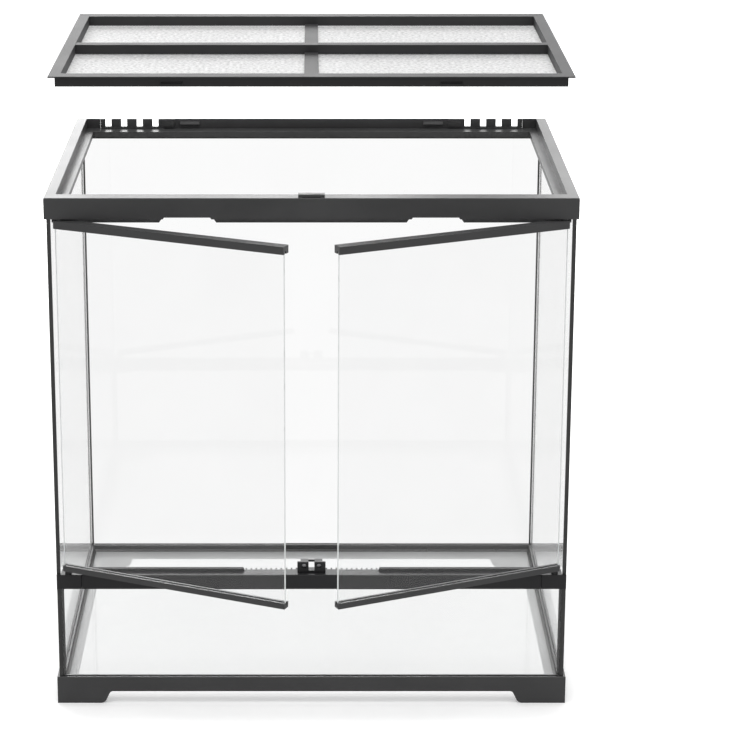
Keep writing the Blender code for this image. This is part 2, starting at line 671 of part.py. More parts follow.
def snap_tabs():
    form = bmesh.new()
    wall = REAR - REAR_RIM
    inside = wall + REAR_RIM / 2
    top = TANK_HEIGHT - TAB_DROP
    tip = top - TAB_RAMP
    for side in (-1, 1):
        outline = [(inside, top), (wall, top), (wall - TAB_REACH, tip), (wall - TAB_REACH, tip - TAB_EDGE)]
        outline += [(wall, tip - 2 * TAB_EDGE), (inside, tip - 2 * TAB_EDGE)]
        middle = side * TAB_CENTRE
        add_prism(form, outline, "x", middle - TAB_WIDTH / 2, middle + TAB_WIDTH / 2)
    return form


def slider_span():
    """Where the sliders start and end, from the middle of the tank outwards, with the notches open."""
    return INLET_FIRST - SLIDER_MARGIN, INLET_LAST + INLET_WIDTH / 2 + SLIDER_TAIL


def slider_guides():
    form = bmesh.new()
    start, stop = slider_span()
    rear = REAR - REAR_RIM - 2 * FIT_GAP - SLIDER_THICKNESS
    for side in (-1, 1):
        ends = (side * (start + SLIDER_GRIP_WIDTH + INLET_PITCH / 2 + GUIDE_HEIGHT), side * stop)
        low = (min(ends), rear - GUIDE_THICKNESS, LEDGE_TOP - FRAME_WALL)
        high = (max(ends), rear, LEDGE_TOP + GUIDE_HEIGHT)
        add_box(form, low, high)
    return form


def build_inlet_sliders(root, materials):
    start, stop = slider_span()
    rear = REAR - REAR_RIM - FIT_GAP
    front = rear - SLIDER_THICKNESS
    foot = LEDGE_TOP + FIT_GAP
    top = TANK_HEIGHT - FIT_GAP
    for word, side in (("left", -1), ("right", 1)):
        axis_x = side * start
        anchor = make_empty(f"{word}_inlet_slide_axis", (axis_x, rear, foot), root)
        ends = (0.0, side * (stop - start))
        plate = boxes(((min(ends), front - rear, 0.0), (max(ends), 0.0, top - foot)))
        slider = make_object(f"{word}_inlet_slider", plate, anchor, materials["frame_plastic"])
        cutters = inlet_cutters(front, rear, side)
        bmesh.ops.translate(cutters, verts=cutters.verts, vec=(-axis_x, -rear, -foot))
        combine(slider, "DIFFERENCE", cutters, "notches")
        grip_ends = (side * EDGE_CHAMFER, side * SLIDER_GRIP_WIDTH)
        grip_foot = GUIDE_HEIGHT + EDGE_CHAMFER
        grip_low = (min(grip_ends), front - rear - SLIDER_GRIP_DEPTH, grip_foot)
        grip_high = (max(grip_ends), -SLIDER_THICKNESS / 2, grip_foot + SLIDER_GRIP_HEIGHT)
        combine(slider, "UNION", boxes((grip_low, grip_high)), "grip")


def rail_plan(side, rear):
    """A door rail from above, about the hinge axis, with the hinge end's front corner cut off."""
    cut = RAIL_END_CHAMFER
    end = -HINGE_TO_RAIL_END
    points = [(end + cut, DOOR_FRONT), (DOOR_REACH, DOOR_FRONT), (DOOR_REACH, rear), (end, rear)]
    points.append((end, DOOR_FRONT + cut))
    return [(-side * a, b) for a, b in points]


def door_glass_span():
    """The door glass's two faces, about the hinge axis."""
    middle = DOOR_SETBACK - HINGE_SETBACK
    return middle - DOOR_GLASS_THICKNESS / 2, middle + DOOR_GLASS_THICKNESS / 2


def glass_slot(side, start, stop):
    """Cutter for the groove that a rail holds the glass in."""
    front, rear = door_glass_span()
    ends = (-side * -(HINGE_TO_RAIL_END + THROUGH), -side * (DOOR_REACH + THROUGH))
    low = (min(ends), front - FIT_GAP, start)
    return boxes((low, (max(ends), rear + FIT_GAP, stop)))


def build_door(root, materials, word, side):
    axis = make_empty(f"{word}_door_axis", (side * HINGE_X, HINGE_Y, 0.0), root, side * DOOR_ANGLE)
    plastic = materials["frame_plastic"]
    hole_radius = PIN_RADIUS + PIN_CLEARANCE
    top_low = DOOR_TOP - DOOR_TOP_RAIL_HEIGHT
    bottom_high = DOOR_BOTTOM + DOOR_BOTTOM_RAIL_HEIGHT

    plan = rail_plan(side, DOOR_FRONT + DOOR_TOP_RAIL_DEPTH)
    top_rail = make_object(f"{word}_door_top_rail", prism(plan, "z", top_low, DOOR_TOP), axis, plastic)
    slot = glass_slot(side, top_low - THROUGH, top_low + DOOR_GLASS_GRIP + FIT_GAP)
    combine(top_rail, "DIFFERENCE", slot, "glass_slot")
    hole = cylinder((0.0, 0.0), hole_radius, "z", DOOR_TOP - PIN_IN_RAIL - PIN_CLEARANCE, DOOR_TOP + THROUGH)
    combine(top_rail, "DIFFERENCE", hole, "pin_hole")

    plan = rail_plan(side, DOOR_FRONT + DOOR_BOTTOM_RAIL_DEPTH)
    form = prism(plan, "z", DOOR_BOTTOM, bottom_high)
    bottom_rail = make_object(f"{word}_door_bottom_rail", form, axis, plastic)
    slot = glass_slot(side, bottom_high - DOOR_GLASS_GRIP - FIT_GAP, bottom_high + THROUGH)
    combine(bottom_rail, "DIFFERENCE", slot, "glass_slot")
    hole_top = DOOR_BOTTOM + PIN_IN_RAIL + PIN_CLEARANCE
    hole = cylinder((0.0, 0.0), hole_radius, "z", DOOR_BOTTOM - THROUGH, hole_top)
    combine(bottom_rail, "DIFFERENCE", hole, "pin_hole")

    front, rear = door_glass_span()
    ends = (-side * (DOOR_GLASS_INSET - HINGE_TO_RAIL_END), -side * (DOOR_REACH - DOOR_GLASS_INSET))
    low = (min(ends), front, bottom_high - DOOR_GLASS_GRIP)
    high = (max(ends), rear, top_low + DOOR_GLASS_GRIP)
    make_object(f"{word}_door_glass", boxes((low, high)), axis, materials["glass"])

    upper_pin = cylinder((0.0, 0.0), PIN_RADIUS, "z", DOOR_TOP - PIN_IN_RAIL, FASCIA_BOTTOM + PIN_IN_FRAME)
    make_object(f"{word}_upper_hinge_pin", upper_pin, axis, materials["steel"], smooth=True)
    pin_foot = DOOR_BOTTOM - FIT_GAP - DOOR_BOTTOM_GAP - PIN_IN_FRAME
    lower_pin = cylinder((0.0, 0.0), PIN_RADIUS, "z", pin_foot, DOOR_BOTTOM + PIN_IN_RAIL)
    make_object(f"{word}_lower_hinge_pin", lower_pin, axis, materials["steel"], smooth=True)

    stud_x = -side * (HINGE_X - LOCK_SOCKET_CENTRE)
    rail_rear = DOOR_FRONT + DOOR_BOTTOM_RAIL_DEPTH
    stud_centre = (stud_x, LOCK_SOCKET_LEVEL)
    stud = cylinder(stud_centre, STRIKER_RADIUS, "y", rail_rear + FIT_GAP, rail_rear + STRIKER_REACH)
    make_object(f"{word}_striker", stud, axis, materials["steel"], smooth=True)


def build_lock(root, materials):
    """Two catch blocks with round sockets on a common foot, a magnet at the bottom of each socket."""
    foot = RAIL_TOP + FIT_GAP
    top = foot + LOCK_BLOCK_HEIGHT
    rear = LOCK_FRONT + LOCK_DEPTH
    half = LOCK_BLOCK_CENTRE + LOCK_BLOCK_WIDTH / 2
    inner = LOCK_BLOCK_CENTRE - LOCK_BLOCK_WIDTH / 2
    low = (-inner - LOCK_BODY_WIDTH, LOCK_FRONT + EDGE_CHAMFER, foot)
    base = boxes((low, (inner + LOCK_BODY_WIDTH, rear, foot + LOCK_BASE_THICKNESS)))
    lock = make_object("lock_housing", base, root, materials["frame_plastic"])
    blocks = bmesh.new()
    bodies = bmesh.new()
    sockets = bmesh.new()
    for side in (-1, 1):
        ends = (side * inner, side * half)
        add_box(blocks, (min(ends), LOCK_FRONT, foot), (max(ends), LOCK_FRONT + LOCK_FACE_THICKNESS, top))
        ends = (side * (inner + FIT_GAP), side * (inner + LOCK_BODY_WIDTH))
        body_low = (min(ends), LOCK_FRONT + LOCK_FACE_THICKNESS / 2, foot + FIT_GAP)
        add_box(bodies, body_low, (max(ends), rear - FIT_GAP, top - FIT_GAP))
        centre = (side * LOCK_SOCKET_CENTRE, LOCK_SOCKET_LEVEL)
        socket_end = LOCK_FRONT + LOCK_SOCKET_DEPTH
        add_cylinder(sockets, centre, LOCK_SOCKET_RADIUS, "y", LOCK_FRONT - THROUGH, socket_end)
    link_low = (-inner - THROUGH / 2, rear - LOCK_FACE_THICKNESS, top - LOCK_FACE_THICKNESS)
    link = boxes((link_low, (inner + THROUGH / 2, rear - EDGE_CHAMFER, top - EDGE_CHAMFER)))
    dishes = bmesh.new()
    for side in (-1, 1):
        centre = (side * LOCK_SOCKET_CENTRE, LOCK_SOCKET_LEVEL)
        add_cylinder(dishes, centre, LOCK_DISH_RADIUS, "y", LOCK_FRONT - THROUGH, LOCK_FRONT + LOCK_DISH_DEPTH)
    combine(lock, "UNION", blocks, "faces")
    combine(lock, "UNION", bodies, "bodies")
    combine(lock, "UNION", link, "link")
    combine(lock, "DIFFERENCE", sockets, "sockets")
    combine(lock, "DIFFERENCE", dishes, "dishes")
    magnet_rear = LOCK_FRONT + LOCK_SOCKET_DEPTH - FIT_GAP
    for word, side in (("left", -1), ("right", 1)):
        centre = (side * LOCK_SOCKET_CENTRE, LOCK_SOCKET_LEVEL)
        radius = LOCK_SOCKET_RADIUS - FIT_GAP
        magnet = cylinder(centre, radius, "y", magnet_rear - MAGNET_THICKNESS, magnet_rear)
        make_object(f"{word}_lock_magnet", magnet, root, materials["magnet"], smooth=True)


def build_lid(root, materials):
    axis = make_empty("lid_lift_axis", (0.0, 0.0, LID_SEATED_TOP + LID_RAISE), root)
    plastic = materials["lid_plastic"]
    bottom = -LID_DEPTH_OF_FRAME
    side, front, rear = LID_SIDE_OVERHANG, LID_FRONT_OVERHANG, LID_REAR_OVERHANG

    def skirt_row(level, inset):
        return (level, side + inset, front + inset, rear + inset)

    def bar_row(level, inset):
        return (level, side_bar - inset, bar - inset, bar - inset)

    bar, side_bar = LID_BAR_WIDTH, LID_SIDE_BAR_WIDTH
    roof = -LID_FLANGE_THICKNESS - EDGE_CHAMFER
    rows = [
        even(0.0, 0.0),
        bar_row(0.0, 0.0),
        bar_row(LID_BAR_BOTTOM, 0.0),
        bar_row(LID_BAR_BOTTOM, LID_WALL),
        bar_row(roof, LID_WALL),
        skirt_row(roof, LID_WALL),
        skirt_row(bottom, LID_WALL),
        skirt_row(bottom, 0.0),
        skirt_row(-LID_FLANGE_THICKNESS, 0.0),
        even(-LID_FLANGE_THICKNESS, 0.0),
    ]
    form = frame_ring(rows, (-LID_HALF_WIDTH, LID_FRONT), (LID_HALF_WIDTH, LID_REAR))
    lid = make_object("lid_frame", form, axis, plastic)

    window_x = LID_HALF_WIDTH - side_bar
    window_front = LID_FRONT + bar
    window_rear = LID_REAR - bar
    middle = (window_front + window_rear) / 2
    half_bar = LID_CROSS_BAR_WIDTH / 2
    into = LID_WALL / 2
    cross_low = (-window_x - into, middle - half_bar, LID_BAR_BOTTOM + FIT_GAP)
    cross_high = (window_x + into, middle + half_bar, -LID_CROSS_BAR_DROP)
    combine(lid, "UNION", boxes((cross_low, cross_high)), "cross_bar")
    half_strip = LID_STRIP_WIDTH / 2
    strip_low = (-half_strip, window_front - into, LID_BAR_BOTTOM + FIT_GAP / 2)
    strip_high = (half_strip, window_rear + into, LID_BAR_BOTTOM + LID_STRIP_THICKNESS)
    combine(lid, "UNION", boxes((strip_low, strip_high)), "centre_strip")
    hollow_low = (-window_x + LID_WALL, middle - half_bar + LID_WALL, LID_BAR_BOTTOM - THROUGH)
    hollow_high = (-half_strip - LID_WALL, middle + half_bar - LID_WALL, roof)
    mirrored = ((-hollow_high[0], *hollow_low[1:]), (-hollow_low[0], *hollow_high[1:]))
    combine(lid, "DIFFERENCE", boxes((hollow_low, hollow_high), mirrored), "cross_bar_hollows")

    skirts = ((LID_FRONT + front, 1), (LID_REAR - rear, -1))
    slots = bmesh.new()
    snaps = bmesh.new()
    slot_bottom = -LID_SLOT_TOP - LID_SLOT_HEIGHT
    for face, inward in skirts:
        for turn in (-1, 1):
            centre = turn * TAB_CENTRE
            ends = sorted((face - inward * THROUGH / 2, face + inward * LID_WALL * 1.5))
            low = (centre - TAB_WIDTH / 2, ends[0], slot_bottom)
            add_box(slots, low, (centre + TAB_WIDTH / 2, ends[1], -LID_SLOT_TOP))
            ends = sorted((face - inward * LID_SNAP_REACH, face + inward * LID_WALL / 2))
            low = (centre - TAB_WIDTH / 2, ends[0], slot_bottom - LID_SNAP_HEIGHT)
            add_box(snaps, low, (centre + TAB_WIDTH / 2, ends[1], slot_bottom))
    combine(lid, "DIFFERENCE", slots, "snap_slots")
    combine(lid, "UNION", snaps, "snaps")

    rests = {
        "front": (window_front - SCREEN_OVERLAP, middle - SCREEN_OVERLAP / 4),
        "rear": (middle + SCREEN_OVERLAP / 4, window_rear + SCREEN_OVERLAP),
    }
    spans = {
        "left": (-window_x - SCREEN_OVERLAP, -SCREEN_OVERLAP / 4),
        "right": (SCREEN_OVERLAP / 4, window_x + SCREEN_OVERLAP),
    }
    for where, (start, stop) in rests.items():
        for word, (west, east) in spans.items():
            low, high = (west, start, bottom), (east, stop, bottom + SCREEN_SHEET)
            name = f"lid_screen_{where}_{word}"
            screen = make_object(name, boxes((low, high)), axis, materials["steel_mesh"])
            combine(screen, "DIFFERENCE", boxes(*screen_cells(low, high)), "cells")


def screen_cells(low, high):
    """The openings in a sheet from low to high, as equal boxes between ribs and inside its overlap."""
    start = [low[i] + SCREEN_OVERLAP + SCREEN_RIB for i in (0, 1)]
    room = [high[i] - SCREEN_OVERLAP - start[i] for i in (0, 1)]
    across = SCREEN_CELLS_ACROSS
    deep = max(1, round(room[1] / room[0] * across))
    pitch = (room[0] / across, room[1] / deep)
    cells = []
    for column in range(across):
        for row in range(deep):
            x = start[0] + column * pitch[0]
            y = start[1] + row * pitch[1]
            foot = (x, y, low[2] - THROUGH)
            cells.append((foot, (x + pitch[0] - SCREEN_RIB, y + pitch[1] - SCREEN_RIB, high[2] + THROUGH)))
    return cells


def build_lid_catch(root, materials):
    anchor = make_empty("lid_catch_axis", (0.0, CATCH_FRONT, TANK_HEIGHT), root)
    half = CATCH_WIDTH / 2
    tongue = CATCH_TONGUE_WIDTH / 2
    hook_foot = LID_SEATED_TOP + FIT_GAP - TANK_HEIGHT
    outline = [
        (0.0, FIT_GAP),
        (CATCH_BASE, FIT_GAP),
        (CATCH_BASE, hook_foot),
        (CATCH_BASE + CATCH_HOOK, hook_foot),
        (CATCH_BASE + CATCH_HOOK, CATCH_HEIGHT - EDGE_CHAMFER),
        (CATCH_BASE + CATCH_HOOK - EDGE_CHAMFER, CATCH_HEIGHT),
        (EDGE_CHAMFER, CATCH_HEIGHT),
        (0.0, CATCH_HEIGHT - EDGE_CHAMFER),
    ]
    catch = make_object("lid_catch", prism(outline, "x", -half, half), anchor, materials["frame_plastic"])
    low = (-tongue, EDGE_CHAMFER, -CATCH_TONGUE_DEPTH)
    foot = boxes((low, (tongue, CATCH_BASE - EDGE_CHAMFER / 2, CATCH_HEIGHT / 2)))
    combine(catch, "UNION", foot, "tongue")


def main():
    clear_scene()
    materials = build_materials()
    root = make_empty("tank_axis", (0.0, Y_SHIFT, 0.0))
    build_base(root, materials)
    build_panes(root, materials)
    build_seals(root, materials)
    build_vent_rail(root, materials)
    build_top_frame(root, materials)
    build_inlet_strips(root, materials)
    build_inlet_sliders(root, materials)
    build_lock(root, materials)
    for word, side in (("left", -1), ("right", 1)):
        build_door(root, materials, word, side)
    build_lid(root, materials)
    build_lid_catch(root, materials)


main()
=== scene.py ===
"""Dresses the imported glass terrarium: finishes on its CAD pieces, woven screens, studio and camera.

Lengths are metres, +Z is up and -Y is the front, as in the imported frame.
"""

import logging
import math
from collections.abc import Iterable
from dataclasses import dataclass
from enum import Enum
from typing import Any

import bmesh
import bpy
from mathutils import Matrix, Vector


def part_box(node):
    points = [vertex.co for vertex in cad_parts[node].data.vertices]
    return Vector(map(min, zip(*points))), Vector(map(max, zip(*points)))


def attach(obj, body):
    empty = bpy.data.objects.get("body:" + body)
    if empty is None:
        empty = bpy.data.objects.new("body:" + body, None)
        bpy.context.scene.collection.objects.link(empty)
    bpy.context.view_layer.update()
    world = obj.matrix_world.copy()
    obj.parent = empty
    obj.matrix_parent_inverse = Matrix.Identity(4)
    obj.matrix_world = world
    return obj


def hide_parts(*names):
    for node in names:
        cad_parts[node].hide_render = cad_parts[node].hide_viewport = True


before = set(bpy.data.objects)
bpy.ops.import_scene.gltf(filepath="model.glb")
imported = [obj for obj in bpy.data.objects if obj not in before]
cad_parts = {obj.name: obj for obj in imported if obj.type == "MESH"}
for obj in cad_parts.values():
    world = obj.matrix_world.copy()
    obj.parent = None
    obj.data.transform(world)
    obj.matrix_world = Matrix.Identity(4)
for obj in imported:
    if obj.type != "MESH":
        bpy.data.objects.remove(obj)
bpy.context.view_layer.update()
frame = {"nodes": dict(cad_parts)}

LOG = logging.getLogger("terrarium")
DOOR_OPENING = math.radians(24.7)

Colour = tuple[float, float, float]
Triple = tuple[float, float, float]


# --------------------------------------------------------------------------------------------
# Shader graphs
# --------------------------------------------------------------------------------------------


class Amount:
    """A number that varies over a surface, with Python's operators adding the Math nodes."""

    def __init__(self, graph: "Graph", socket: bpy.types.NodeSocket) -> None:
        """Wraps an output socket.

        Args:
            graph: the graph that the socket belongs to.
            socket: the output that holds the number.
        """
        self.graph = graph
        self.socket = socket

    def _math(self, operation: str, *values: "Amount | float") -> "Amount":
        """Adds one Math node.

        Args:
            operation: the Math node's operation.
            values: its inputs, in order.

        Returns:
            The node's result.
        """
        inputs = dict(enumerate(values))
        node = self.graph.add("ShaderNodeMath", {"operation": operation}, inputs)
        return Amount(self.graph, node.outputs[0])

    def __add__(self, other: "Amount | float") -> "Amount":
        """Returns the sum."""
        return self._math("ADD", self, other)

    def __radd__(self, other: float) -> "Amount":
        """Returns the sum, with the plain number first."""
        return self._math("ADD", other, self)

    def __sub__(self, other: "Amount | float") -> "Amount":
        """Returns the difference."""
        return self._math("SUBTRACT", self, other)

    def __rsub__(self, other: float) -> "Amount":
        """Returns the difference, with the plain number first."""
        return self._math("SUBTRACT", other, self)

    def __mul__(self, other: "Amount | float") -> "Amount":
        """Returns the product."""
        return self._math("MULTIPLY", self, other)

    def __rmul__(self, other: float) -> "Amount":
        """Returns the product, with the plain number first."""
        return self._math("MULTIPLY", other, self)

    def __pow__(self, other: "Amount | float") -> "Amount":
        """Returns the power."""
        return self._math("POWER", self, other)

    def most(self, other: "Amount | float") -> "Amount":
        """Returns the larger of the two."""
        return self._math("MAXIMUM", self, other)

    def sine(self) -> "Amount":
        """Returns the sine of the number in radians."""
        return self._math("SINE", self)

    def fade(self, start: float, end: float) -> "Amount":
        """Rises smoothly from 0 to 1.

        Args:
            start: the number that gives 0.
            end: the number that gives 1, which may lie below start.

        Returns:
            The smoothed number.
        """
        settings = {"interpolation_type": "SMOOTHSTEP"}
        inputs = {"Value": self, "From Min": start, "From Max": end}
        node = self.graph.add("ShaderNodeMapRange", settings, inputs)
        return Amount(self.graph, node.outputs["Result"])


class Graph:
    """The node tree of one material or world."""

    def __init__(self, owner: bpy.types.Material | bpy.types.World) -> None:
        """Empties the owner's node tree, so that it holds only what is added here.

        Args:
            owner: the material or world.
        """
        owner.use_nodes = True
        self.tree = owner.node_tree
        self.tree.nodes.clear()
        kind = "World" if isinstance(owner, bpy.types.World) else "Material"
        self.output = self.tree.nodes.new(f"ShaderNodeOutput{kind}")

    def add(
        self,
        kind: str,
        settings: dict[str, Any] | None = None,
        inputs: dict[int | str, Any] | None = None,
    ) -> bpy.types.Node:
        """Adds a node.

        Args:
            kind: the node's type.
            settings: its properties, which are set first.
            inputs: a value, an Amount or an output socket for each named or numbered input.

        Returns:
            The new node.
        """
        node = self.tree.nodes.new(kind)
        for name, value in (settings or {}).items():
            setattr(node, name, value)
        for name, value in (inputs or {}).items():
            self.feed(node.inputs[name], value)
        return node

    def feed(self, target: bpy.types.NodeSocket, value: Any) -> None:
        """Gives an input its value.

        Args:
            target: the input.
            value: an Amount, an output socket, a colour of three parts or any plain value.
        """
        if isinstance(value, Amount):
            self.tree.links.new(value.socket, target)
        elif isinstance(value, bpy.types.NodeSocket):
            self.tree.links.new(value, target)
        elif target.type == "RGBA":
            target.default_value = (*value[:3], 1.0)
        else:
            target.default_value = value

    def amount(self, node: bpy.types.Node, output: int | str = 0) -> Amount:
        """Returns a node's output as a number that the operators take."""
        return Amount(self, node.outputs[output])

    def place(self, centre: Triple = (0.0, 0.0, 0.0)) -> bpy.types.NodeSocket:
        """Gives the point on the surface, in the frame of the object.

        Args:
            centre: the point that becomes the pattern's middle.

        Returns:
            The vector output that patterns read.
        """
        spot = self.add("ShaderNodeTexCoord").outputs["Object"]
        if not any(centre):
            return spot
        inputs = {"Vector": spot, "Location": tuple(-part for part in centre)}
        return self.add("ShaderNodeMapping", {"vector_type": "POINT"}, inputs).outputs["Vector"]

    def speckle(self, spot: bpy.types.NodeSocket, size: float, detail: float = 2.0) -> Amount:
        """Adds a noise pattern.

        Args:
            spot: the point that it reads.
            size: the distance between its lumps, in metres.
            detail: how many finer layers it has.

        Returns:
            A number around 0.5.
        """
        inputs = {"Vector": spot, "Scale": 1.0 / size, "Detail": detail}
        node = self.add("ShaderNodeTexNoise", {"noise_dimensions": "3D"}, inputs)
        return self.amount(node, "Fac")

    def axis(self, vector: bpy.types.NodeSocket, name: str) -> Amount:
        """Returns one of a vector's parts, X, Y or Z."""
        return self.amount(self.add("ShaderNodeSeparateXYZ", None, {"Vector": vector}), name)

    def dot(self, first: bpy.types.NodeSocket, second: bpy.types.NodeSocket) -> Amount:
        """Returns the dot product of two vector outputs."""
        inputs = {0: first, 1: second}
        node = self.add("ShaderNodeVectorMath", {"operation": "DOT_PRODUCT"}, inputs)
        return self.amount(node, "Value")

    def blend(
        self,
        amount: Amount,
        first: bpy.types.NodeSocket | Colour,
        second: bpy.types.NodeSocket | Colour,
    ) -> bpy.types.NodeSocket:
        """Blends two colours.

        Args:
            amount: 0 for the first colour and 1 for the second.
            first: the first colour, fixed or varying.
            second: the second colour, fixed or varying.

        Returns:
            The colour output.
        """
        node = self.add("ShaderNodeMix", {"data_type": "RGBA"})
        targets = [socket for socket in node.inputs if socket.enabled]
        for target, value in zip(targets, (amount, first, second)):
            self.feed(target, value)
        return next(socket for socket in node.outputs if socket.enabled)

    def bump(
        self, height: Amount, depth: float, normal: bpy.types.NodeSocket | None = None
    ) -> bpy.types.NodeSocket:
        """Turns a height into a normal.

        Args:
            height: the height, from 0 to 1.
            depth: what a height of 1 stands for, in metres.
            normal: the normal that it is laid on, if not the surface's own.

        Returns:
            The normal output.
        """
        inputs = {"Height": height, "Distance": depth}
        if normal is not None:
            inputs["Normal"] = normal
        return self.add("ShaderNodeBump", None, inputs).outputs["Normal"]

    def soft_edges(self, radius: float) -> bpy.types.NodeSocket:
        """Returns the normal with every edge rounded to the radius."""
        return self.add("ShaderNodeBevel", {"samples": 4}, {"Radius": radius}).outputs["Normal"]

    def mixed(
        self, share: Amount, first: bpy.types.NodeSocket, second: bpy.types.NodeSocket
    ) -> bpy.types.NodeSocket:
        """Mixes two shaders.

        Args:
            share: 0 for the first shader and 1 for the second.
            first: the first shader's output.
            second: the second shader's output.

        Returns:
            The mixed shader's output.
        """
        inputs = {0: share, 1: first, 2: second}
        return self.add("ShaderNodeMixShader", None, inputs).outputs["Shader"]

    def surface(self, shader: bpy.types.NodeSocket) -> None:
        """Makes a shader output the surface of the material or world."""
        self.tree.links.new(shader, self.output.inputs["Surface"])

    def coat(self, inputs: dict[str, Any]) -> None:
        """Makes a Principled shader with the given inputs the surface."""
        self.surface(self.add("ShaderNodeBsdfPrincipled", None, inputs).outputs["BSDF"])


# --------------------------------------------------------------------------------------------
# Finishes
# --------------------------------------------------------------------------------------------


def scaled(colour: Colour, factor: float) -> Colour:
    """Returns the colour made paler or darker by the factor."""
    return tuple(factor * part for part in colour)


class Finish:
    """A surface finish, of which each kind adds its own nodes."""

    def material(self, name: str, centre: Triple = (0.0, 0.0, 0.0)) -> bpy.types.Material:
        """Makes the finish.

        Args:
            name: the material's name.
            centre: the point that becomes the pattern's middle.

        Returns:
            The material.
        """
        material = bpy.data.materials.new(name)
        graph = Graph(material)
        self.paint(graph, graph.place(centre))
        return material

    def paint(self, graph: Graph, spot: bpy.types.NodeSocket) -> None:
        """Adds the finish's nodes.

        Args:
            graph: the material's graph.
            spot: the point on the surface, which the patterns read.
        """
        raise NotImplementedError


@dataclass(frozen=True)
class MouldedPlastic(Finish):
    """Satin black plastic with a fine moulded grain, slightly polished along its edges."""

    tone: Colour = (0.054, 0.054, 0.055)
    gloss: float = 0.20
    roughness: float = 0.33
    flow_size: float = 0.060
    flow_paler: float = 1.12
    flow_roughness: float = 0.10
    grain_size: float = 0.0005
    grain_depth: float = 0.000018
    grain_roughness: float = 0.06
    edge_radius: float = 0.0005
    rub_size: float = 0.006
    rub_paler: float = 1.5
    rub_roughness: float = 0.08

    def paint(self, graph: Graph, spot: bpy.types.NodeSocket) -> None:
        """Adds the finish's nodes: the melt's flow marks, the grain and the rubbed edges.

        Args:
            graph: the material's graph.
            spot: the point on the surface, which the patterns read.
        """
        flow = graph.speckle(spot, self.flow_size, 3.0)
        grain = graph.speckle(spot, self.grain_size, 1.0)
        edges = graph.soft_edges(self.edge_radius)
        flat = graph.add("ShaderNodeNewGeometry").outputs["True Normal"]
        rub = (1.0 - graph.dot(edges, flat)).fade(0.02, 0.25) * graph.speckle(spot, self.rub_size)
        streaked = graph.blend(flow.fade(0.3, 0.7), self.tone, scaled(self.tone, self.flow_paler))
        roughness = (
            self.roughness
            + (flow - 0.5) * self.flow_roughness
            + (grain - 0.5) * self.grain_roughness
            - rub * self.rub_roughness
        )
        graph.coat(
            {
                "Base Color": graph.blend(rub, streaked, scaled(self.tone, self.rub_paler)),
                "Roughness": roughness,
                "Specular IOR Level": self.gloss,
                "Normal": graph.bump(grain, self.grain_depth, edges),
            }
        )


@dataclass(frozen=True)
class FloatGlass(Finish):
    """Clear float glass, slightly wavy, with a film that shows where it is seen along its face."""

    tint: Colour = (0.963, 0.964, 0.964)
    index: float = 1.33
    film: Colour = (0.92, 0.93, 0.93)
    film_amount: float = 0.06
    film_onset: float = 3.0
    film_patches: float = 0.1
    film_size: float = 0.085
    film_darker: float = 0.990
    wave_size: float = 0.060
    wave_depth: float = 0.000004

    def paint(self, graph: Graph, spot: bpy.types.NodeSocket) -> None:
        """Adds the finish's nodes: the waves, the film and the way for light past the glass.

        Args:
            graph: the material's graph.
            spot: the point on the surface, which the patterns read.
        """
        smear = graph.speckle(spot, self.film_size, 4.0).fade(0.35, 0.75)
        wave = graph.speckle(spot, self.wave_size, 1.0)
        inputs = {
            "Base Color": graph.blend(smear, self.tint, scaled(self.tint, self.film_darker)),
            "Roughness": 0.0,
            "IOR": self.index,
            "Transmission Weight": 1.0,
            "Normal": graph.bump(wave, self.wave_depth),
        }
        glass = graph.add("ShaderNodeBsdfPrincipled", None, inputs).outputs["BSDF"]
        film = graph.add("ShaderNodeBsdfDiffuse", None, {"Color": self.film}).outputs["BSDF"]
        along = graph.amount(graph.add("ShaderNodeLayerWeight", None, {"Blend": 0.5}), "Facing")
        patches = (1.0 - self.film_patches) + smear * self.film_patches
        share = along**self.film_onset * self.film_amount * patches
        clear = graph.add("ShaderNodeBsdfTransparent", None, {"Color": self.tint}).outputs["BSDF"]
        filmed = graph.mixed(share, glass, film)
        graph.surface(graph.mixed(self._unseen(graph), filmed, clear))

    @staticmethod
    def _unseen(graph: Graph) -> Amount:
        """Tells the rays that carry light past the glass from those that look at it.

        Args:
            graph: the glass's graph.

        Returns:
            1 for a ray to a lamp, off a matt surface or off a satin one, which then passes unbent.
        """
        path = graph.add("ShaderNodeLightPath")
        bent = graph.amount(path, "Is Transmission Ray")
        sharp = graph.amount(path, "Is Singular Ray").most(bent)
        satin = graph.amount(path, "Is Glossy Ray") * (1.0 - sharp)
        lamp = graph.amount(path, "Is Shadow Ray").most(graph.amount(path, "Is Diffuse Ray"))
        return lamp.most(satin)


@dataclass(frozen=True)
class GroundEdge(Finish):
    """The narrow ground and seamed edge of a pane, pale where the grinding scatters the light."""

    tone: Colour = (0.93, 0.96, 0.95)
    roughness: float = 0.55
    grit_size: float = 0.0006
    grit_depth: float = 0.00003
    grit_roughness: float = 0.2
    chip_size: float = 0.012
    chip_darker: float = 0.86

    def paint(self, graph: Graph, spot: bpy.types.NodeSocket) -> None:
        """Adds the finish's nodes: the grinder's grit marks and duller chipped stretches.

        Args:
            graph: the material's graph.
            spot: the point on the surface, which the patterns read.
        """
        grit = graph.speckle(spot, self.grit_size)
        chip = graph.speckle(spot, self.chip_size, 3.0).fade(0.55, 0.75)
        graph.coat(
            {
                "Base Color": graph.blend(chip, self.tone, scaled(self.tone, self.chip_darker)),
                "Roughness": self.roughness + (grit - 0.5) * self.grit_roughness,
                "Normal": graph.bump(grit, self.grit_depth),
            }
        )


